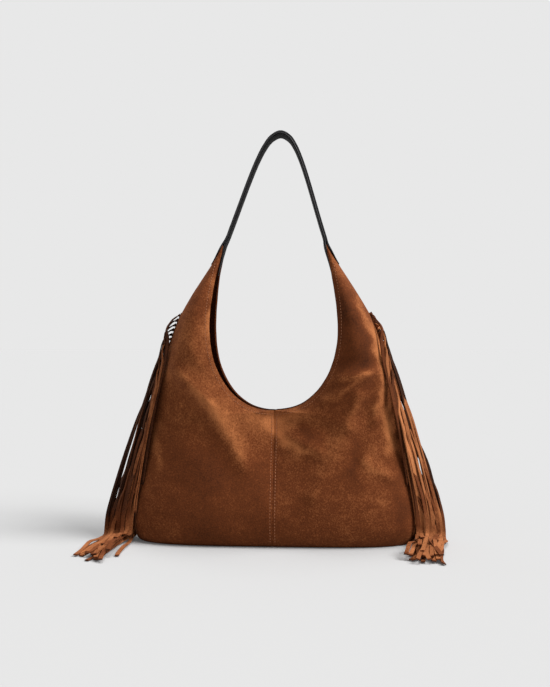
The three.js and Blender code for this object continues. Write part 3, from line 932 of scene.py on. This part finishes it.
def strap_ply(name, node, edge, lap, outward):
    """One ply of the strap, skived thin at its ends, with rounded edges."""
    rings = strap_rings(edge, lap, outward)
    steps, count = rings.shape[:2]
    corner = np.arange(steps * count).reshape(steps, count)
    following = np.roll(corner, -1, axis=1)
    sides = np.stack([corner[:-1], following[:-1], following[1:], corner[1:]], axis=-1)
    faces = sides.reshape(-1, 4).tolist() + [corner[0].tolist(), corner[-1].tolist()]
    mesh = bpy.data.meshes.new(name)
    mesh.from_pydata((rings.reshape(-1, 3) * MM).tolist(), [], faces)
    mesh.materials.append(strap_leather)
    mesh.materials.append(strap_edge_paint)
    # The black paint covers all but two opposite rounded corners, which show the leather
    painted = np.arange(count) % (count // 2) >= 2
    mesh.polygons.foreach_set("material_index", np.tile(painted, steps - 1).astype(int).tolist() + [1, 1])
    turn_outwards(mesh)
    mesh.shade_smooth()
    mesh.set_sharp_from_angle(angle=math.radians(CUT_SHARP_ANGLE))
    return fitted(add_object(name, mesh), "strap_leather", node)


seam_profile = along(side_seam, np.linspace(0, 1, CURVE_SAMPLES))
widest = seam_profile[np.argmax(seam_profile[:, 0])]


def hang_reach(height):
    """Half width of the bag at a height, for what hangs down its side past the corner's widest point."""
    above = seam_profile[seam_profile[:, 2] >= widest[2]]
    return np.interp(height, above[:, 2], above[:, 0])


def bundle_reach(height, foot):
    """How far the bundle of strips stands out from the bag's side at a height."""
    return mix(BUNDLE_TOP, foot, smooth(0.91 * SHOULDER_HEIGHT, -0.19 * SHOULDER_HEIGHT, height))


def root_share(root_height):
    """Place of a strip's root between the hip, 0, and the shoulder, 1."""
    return (root_height - HIP_HEIGHT) / (SHOULDER_HEIGHT - HIP_HEIGHT)


def bundle_share(root_height, height, turn, fan):
    """How far out in the bundle a strip hangs: first over all that start lower, then fanned by turns."""
    lowest = np.maximum(HIP_HEIGHT, height)
    over = np.clip((root_height - lowest) / np.maximum(SHOULDER_HEIGHT - lowest, BUNDLE_SPAN), 0, 1)
    fanned = FAN_STEP * turn % 1
    return mix(over, fanned, smooth(FAN_START, fan, root_height - height))


def strip_lane(index, count):
    return LANES[(count - 1 - index) % len(LANES)]


def chances(style, index, start, count):
    """Repeatable numbers from 0 to 1 for one strip."""
    return [scatter(style["seed"] + index, start + channel) for channel in range(count)]


def strip_layer(turn, lane):
    """The strip's layer in its pile: each lane has two, by turns."""
    return lane["layer"] + turn // len(LANES) % 2


def bend_start(index, count, style):
    """Height at which a hanging strip starts to bend onto its layer of the pile."""
    layer = strip_layer(count - 1 - index, strip_lane(index, count))
    bed = STRIP_THICKNESS / 2 + CLEARANCE + ROLL_ROOM * style["crumple"] + layer * LAYER_HEIGHT
    return bed + FLOOR_BEND


def strip_hang(root, turn, lane, style, chance, bend_top):
    """The hanging part of a strip: out of the seam, over and down to the floor bend."""
    angles = np.linspace(0, math.pi / 2, LOOP_STEPS)
    loop_heights = root[2] + LOOP_RISE * np.sin(2 * angles) - LOOP_DROP * (1 - np.cos(angles))
    hang_heights = np.linspace(root[2] - LOOP_DROP, bend_top, HANG_STEPS)[1:]
    heights = np.concatenate([loop_heights, hang_heights])
    out = np.concatenate([np.sin(angles), np.ones(len(hang_heights))])
    drop = np.maximum(0, root[2] - heights)
    settled = smooth(LOOP_DROP, LOOP_SETTLE, drop)
    wavering = smooth(*WAVER_START, drop)
    low_loop = mix(LOW_LOOP, 1, smooth(*HIGH_ROOTS, root_share(root[2])))
    loop = style["loop"] * lane["loop"] * low_loop * out * mix(1, lane["rest"], settled)
    spread = mix(1, mix(*BUNDLE_SPREAD, chance[3]), settled)
    share = bundle_share(root[2], heights, turn, lane["fan"])
    nest = share * bundle_reach(heights, style["foot"]) * spread
    tuck = lane["tuck"] * settled
    ripple = RIPPLE * np.sin(drop / mix(*RIPPLE_RUN, chance[4]) + PHASE * chance[5]) * wavering
    wander = WANDER * np.sin(drop / WANDER_RUN + PHASE * chance[6]) * wavering
    x = hang_reach(heights) + loop + nest - tuck + ripple
    y = lane["y"] * (1 - np.exp(-drop / SWAY_DROP)) + wander
    hanging = np.stack([x, y, heights], axis=-1)
    hanging[0] = root + [STRIP_START * style["header"], 0, 0]
    return hanging


def tail_course(foot, style, chance):
    """Direction of a tail on the floor, in radians outwards from straight ahead."""
    drawn = math.atan(PILE_DRAW * (widest[0] + PILE_MIDDLE - foot[0]) / PILE_RUN)
    course = drawn + math.radians(style["course"] + style["stray"] * (2 * chance[7] - 1))
    return min(course, math.atan((widest[0] + style["edge"] - foot[0]) / PILE_RUN))


def strip_tail(foot, layer, style, chance):
    """The part of a strip from the floor bend on: forward along the floor, crumpled."""
    loose = style["crumple"]
    run = np.linspace(0, 1, TAIL_STEPS)[1:] * STRIP_LENGTH
    bend = np.minimum(run / FLOOR_BEND, math.pi / 2)
    forward = FLOOR_BEND * (1 - np.cos(bend)) + np.maximum(0, run - FLOOR_BEND * math.pi / 2)
    fall = FLOOR_BEND * np.sin(bend)
    curl = mix(*CURL, chance[8]) * loose
    heading = tail_course(foot, style, chance) + curl * forward / CURL_RUN
    sink = layer * LAYER_HEIGHT * smooth(*PILE_SINK_RUN, forward) * PILE_SINK
    hump = loose * mix(*HUMP, chance[9])
    hump = hump * np.sin(forward / mix(*HUMP_RUN, chance[10]) + PHASE * chance[4]) ** 2
    hump = hump * smooth(*HUMP_START, forward) * smooth(*HUMP_END, forward)
    snake = np.sin(forward / mix(*SNAKE_RUN, chance[2]) + PHASE * chance[3]) - math.sin(PHASE * chance[3])
    snake = loose * mix(*SNAKE, chance[1]) * snake * smooth(*SNAKE_START, forward)
    return np.stack([
        foot[0] + np.sin(heading) * forward + snake,
        foot[1] - np.cos(heading) * forward,
        foot[2] - fall - sink + hump,
    ], axis=-1)


def strip_route(index, count, style):
    """Line of one strip for the right side: out of the seam, over, down, and forward along the floor."""
    root = along(fringe_run, (index + 0.5) / count)
    chance = chances(style, index, 0, 12)
    turn = count - 1 - index
    lane = strip_lane(index, count)
    hanging = strip_hang(root, turn, lane, style, chance, bend_start(index, count, style))
    foot = hanging[-1]
    line = np.vstack([hanging, strip_tail(foot, strip_layer(turn, lane), style, chance)])
    graded = STRIP_LENGTH + lane["grade"] * (root[2] - HIP_HEIGHT)
    longest_tail = (style["front"] + foot[1]) * mix(SHORTEST_TAIL, 1, chance[0])
    length = graded + STRIP_LENGTH_SPREAD * (chance[11] - 0.5)
    length = min(length, reach(hanging)[-1] + longest_tail)
    return along(line, np.linspace(0, min(1, length / reach(line)[-1]), STRIP_STEPS))


def strip_lie(line, index, count, style):
    """Directions out of a strip's face along its line."""
    tangent = unit(along(fringe_run, (index + 1) / count) - along(fringe_run, index / count))
    chance = chances(style, index, 20, 6)
    bend_top = bend_start(index, count, style)
    run = reach(line)
    faced = strip_lane(index, count)["facing"] + FACING_SPREAD * (chance[0] - 0.5)
    swing = np.sin(run / mix(*SWING_RUN, chance[1]) + PHASE * chance[2]) * smooth(*SWING_START, run)
    turned = math.radians(faced) * smooth(*FACING_RUN, run) + math.radians(SWING) * swing
    near_floor = smooth(bend_top + FLOOR_TURN, bend_top, line[:, 2])
    facing = mix(turned, math.radians(FLOOR_FACING), near_floor)
    hung = np.stack([np.sin(facing), np.cos(facing), 0 * facing], axis=-1)
    wide = unit(mix(tangent[None, :], hung, smooth(0, style["twist"], run)[:, None]))
    heading = unit(np.gradient(line, axis=0))
    wide = unit(wide - heading * np.sum(wide * heading, axis=1, keepdims=True))
    lie = np.cross(heading, wide)
    roll = math.radians(ROLL_LEAN) * (chance[3] - 0.5)
    roll = roll + math.radians(ROLL_SWING) * np.sin(run / ROLL_RUN + PHASE * chance[4])
    roll *= style["crumple"] * smooth(bend_top + ROLL_START, bend_top - ROLL_FULL, line[:, 2])
    return lie * np.cos(roll)[:, None] + wide * np.sin(roll)[:, None]


def strip_tone_and_light(line, index, count, style):
    """Tone along a strip: its own as it hangs with painted shade by side and lane, a paler one on the floor
    as painted light, darker at the cut end.
    """
    own, lying = chances(style, index, 40, 2)
    # The side and lane tones are painted shade; the strip's own chance is random tone
    tone = style["tone"] + strip_lane(index, count)["tone"] + style["shades"] * (own - 0.5)
    # Painted light where the strip lies on the floor, with a random spread
    lying_tone_and_light = LYING_PAINTED_LIGHT + FLOOR_TONE_SPREAD * (lying - 0.5)
    cut_end = smooth(len(line) - 2, len(line) - 1, np.arange(len(line)))
    return mix(tone, lying_tone_and_light, smooth(*FLOOR_HEIGHTS, line[:, 2])) - CUT_END_TONE * cut_end


def fringe(name, node, style):
    """The strips of one fringe."""
    count = int(reach(fringe_run)[-1] // STRIP_PITCH)
    flip = [style["side"], 1, 1]
    routes = [strip_route(index, count, style) for index in range(count)]
    lies = [strip_lie(line, index, count, style) * flip for index, line in enumerate(routes)]
    strip_tones_and_light = [strip_tone_and_light(line, index, count, style) for index, line in enumerate(routes)]
    mesh = lines_mesh(name, [line * flip for line in routes])
    store(mesh, "lie", np.vstack(lies), "FLOAT_VECTOR")
    store(mesh, "tone_and_painted_light", np.concatenate(strip_tones_and_light))
    piece = grown(name, mesh, strips_of_suede, STRIP_SIZES, fringe_suede)
    piece.data.set_sharp_from_angle(angle=math.radians(CUT_SHARP_ANGLE))
    return fitted(piece, "fringe_suede", node)


def fringe_header(name, style):
    """The uncut edge of the fringe's sheet, sewn into the side seam."""
    proud = style["header"]
    line = along(fringe_run, np.linspace(0, 1, HEADER_STEPS))
    out = square_to(line)
    thickness = np.array([0, HEADER_THICKNESS / 2, 0])
    low, high = line - out * (HEADER_DEPTH - proud), line + out * proud
    flip = np.array([style["side"], 1, 1])
    outer = np.stack([low - thickness, high - thickness], axis=1) * flip
    inner = np.stack([low + thickness, high + thickness], axis=1) * flip
    points, faces = shell_mesh(outer, inner)
    piece = mesh_piece(name, points, faces, fringe_suede)
    store(piece.data, "tone_and_painted_light", np.zeros(len(points)))
    return fitted(piece, "fringe_suede")


def surface_line(side, face, folds, across, up, proud):
    """A line on a panel's outer face, lifted by proud."""
    def at(aside, above):
        return panel_surface(side, folds, np.clip(across + aside, 0, 1), np.clip(up + above, 0, 1))

    rightwards = at(LINE_PROBE, 0) - at(-LINE_PROBE, 0)
    upwards = at(0, LINE_PROBE) - at(0, -LINE_PROBE)
    normal = unit(np.cross(rightwards, upwards) * side)
    return (at(0, 0) + normal * proud) * [1, face, 1]


def seam_rows(face, folds):
    """Rows of stitches on both sides of the centre seam."""
    up = np.linspace(SEAM_ROW_START, RIM_START - SEAM_ROW_END, SEAM_ROW_STEPS)
    across = SEAM_ROW / along(side_seam, up)[:, 0]
    return [surface_line(side, face, folds, across, up, SEAM_ROW_PROUD) for side in (-1, 1)]


def hem_rows(face, folds):
    """Rows of stitches along the turned hem of the rim."""
    line = along(rim_line, np.linspace(*HEM_ROW_RUN, HEM_ROW_STEPS))
    spots = line + square_to(line) * HEM_ROW
    return [np.array([on_panel(side, face, folds, x, z) for x, _, z in spots]) for side in (-1, 1)]


def on_panel(side, face, folds, x, z):
    """The spot of a panel's outer face at a place in the front view, lifted a little for thread."""
    spot = np.array(SEARCH_START)
    for _ in range(SEARCH_ROUNDS):
        across, up = spot[:, None] + SEARCH_PROBE * np.array([[0, 1, 0], [0, 0, 1]])
        here, right, above = panel_surface(side, folds, across, up)[:, [0, 2]]
        slope = np.stack([right - here, above - here], axis=1) / SEARCH_PROBE
        move = np.linalg.solve(slope, np.array([side * x, z]) - here)
        spot = np.clip(spot + np.clip(move, -SEARCH_MOVE, SEARCH_MOVE), *SEARCH_LIMITS)
    return surface_line(side, face, folds, spot[:1], spot[1:], HEM_ROW_PROUD)[0]


def strap_rows(edge, lap, outward):
    """Rows of stitches near both edges of a ply's outer face."""
    middle, through = strap_frames(edge, lap, outward)
    thinned, narrowed = strap_taper(middle, lap)
    face = middle + through * (STRAP_PLY * (thinned - 0.5) - STRAP_ROW_SUNK)[:, None]
    offset = (STRAP_WIDTH / 2 * narrowed - STRAP_ROW)[:, None] * [-STRAP_TURN, 1, 0]
    return [(face + sign * offset)[STRAP_ROW_END:-STRAP_ROW_END] for sign in (-1, 1)]


def sewn(name, rows, material, slot):
    """Stitches along rows of points."""
    mesh = lines_mesh(name, rows)
    return fitted(grown(name, mesh, stitches_of_thread, STITCH_SIZES, material), slot)


strips_of_suede = strip_tree()
stitches_of_thread = stitch_tree()

base_piece()
strap_ply("strap_outer_leather", "strap_outer_ply", side_seam, OUTER_LAP, 1)
strap_ply("strap_inner_leather", "strap_inner_ply", inner_edge, INNER_LAP, -1)
for hand, sign in (("left", -1), ("right", 1)):
    front = panel(f"front_{hand}_suede", f"front_panel_{hand}", sign, 1, FRONT_FOLDS, FRONT_PAINTED_LIGHT_AND_NAP)
    back = panel(f"back_{hand}_suede", f"back_panel_{hand}", sign, -1, BACK_FOLDS, BACK_PAINTED_LIGHT_AND_NAP)
    header = fringe_header(f"fringe_{hand}_header", FRINGES[hand])
    strips = fringe(f"fringe_{hand}_strips", f"fringe_{hand}", FRINGES[hand])

sewn("centre_seam_thread", seam_rows(1, FRONT_FOLDS) + seam_rows(-1, BACK_FOLDS), brown_thread, "suede")
sewn("rim_hem_thread", hem_rows(1, FRONT_FOLDS) + hem_rows(-1, BACK_FOLDS), brown_thread, "suede")
strap_thread = strap_rows(side_seam, OUTER_LAP, 1) + strap_rows(inner_edge, INNER_LAP, -1)
sewn("strap_thread", strap_thread, black_thread, "strap_leather")


# Floor, light and camera

BACKDROP = paint(BACKDROP_GREY, BACKDROP_GREY, BACKDROP_GREY)
FLOOR_LIGHT = SKY_STRENGTH
for light in LIGHTS.values():
    FLOOR_LIGHT += light["strength"] * math.sin(math.radians(light["elevation"])) / math.pi
FLOOR_SHINE = (1 - FLOOR_GLOW_SHARE) * FLOOR_ALBEDO * FLOOR_LIGHT
FLOOR_GLOW = (FLOOR_MATCH * BACKDROP[0] - FLOOR_SHINE) / FLOOR_GLOW_SHARE


def studio_floor():
    """A wide pale floor that keeps the bag's soft shadow."""
    mesh = bpy.data.meshes.new("studio_floor")
    corners = [(x * FLOOR_SIZE, y * FLOOR_SIZE, 0) for x, y in ((-1, -1), (1, -1), (1, 1), (-1, 1))]
    mesh.from_pydata(corners, [], [(0, 1, 2, 3)])
    material, tree, shader = new_material("pale_floor")
    grey = (FLOOR_ALBEDO, FLOOR_ALBEDO, FLOOR_ALBEDO, 1)
    feed(tree, shader, Base_Color=grey, Roughness=1, Specular_IOR_Level=0)
    glow = add_node(tree, "ShaderNodeEmission", Color=(1, 1, 1, 1), Strength=FLOOR_GLOW)
    seen = add_node(tree, "ShaderNodeLightPath").outputs["Is Camera Ray"]
    share = math_node(tree, "MULTIPLY", seen, FLOOR_GLOW_SHARE)
    blend = add_node(tree, "ShaderNodeMixShader", Fac=share, i1=shader.outputs[0], i2=glow.outputs[0])
    feed(tree, tree.nodes["Material Output"], Surface=blend.outputs[0])
    mesh.materials.append(material)
    add_object("studio_floor", mesh)


def studio_world():
    world = bpy.data.worlds.new("studio")
    world.use_nodes = True
    tree = world.node_tree
    lit = feed(tree, tree.nodes["Background"], Color=(1, 1, 1, 1), Strength=SKY_STRENGTH)
    seen = add_node(tree, "ShaderNodeBackground", Color=BACKDROP, Strength=1.0)
    path = add_node(tree, "ShaderNodeLightPath")
    clear = math_node(tree, "MAXIMUM", path.outputs["Is Camera Ray"], path.outputs["Is Glossy Ray"])
    blend = add_node(tree, "ShaderNodeMixShader", Fac=clear, i1=lit.outputs[0], i2=seen.outputs[0])
    feed(tree, tree.nodes["World Output"], Surface=blend.outputs[0])
    bpy.context.scene.world = world


def sun(name, azimuth, elevation, strength, softness):
    lamp = bpy.data.lights.new(name, "SUN")
    lamp.energy = strength
    lamp.angle = math.radians(softness)
    add_object(name, lamp).rotation_euler = (math.radians(90 - elevation), 0, math.radians(azimuth))


def camera():
    data = bpy.data.cameras.new("camera")
    pixels = CAMERA_DISTANCE / (MM_A_PIXEL * MM)
    data.sensor_width = SENSOR
    data.lens = pixels * SENSOR / IMAGE_HEIGHT
    holder = add_object("camera", data)
    turn = math.radians(CAMERA_AZIMUTH)
    holder.location = (math.sin(turn) * CAMERA_DISTANCE, -math.cos(turn) * CAMERA_DISTANCE, CAMERA_HEIGHT)
    holder.rotation_euler = (math.radians(90), 0, turn)
    bpy.context.scene.camera = holder


studio_floor()
studio_world()
for name, light in LIGHTS.items():
    sun(name, **light)
camera()
bpy.context.scene.view_settings.view_transform = "Standard"
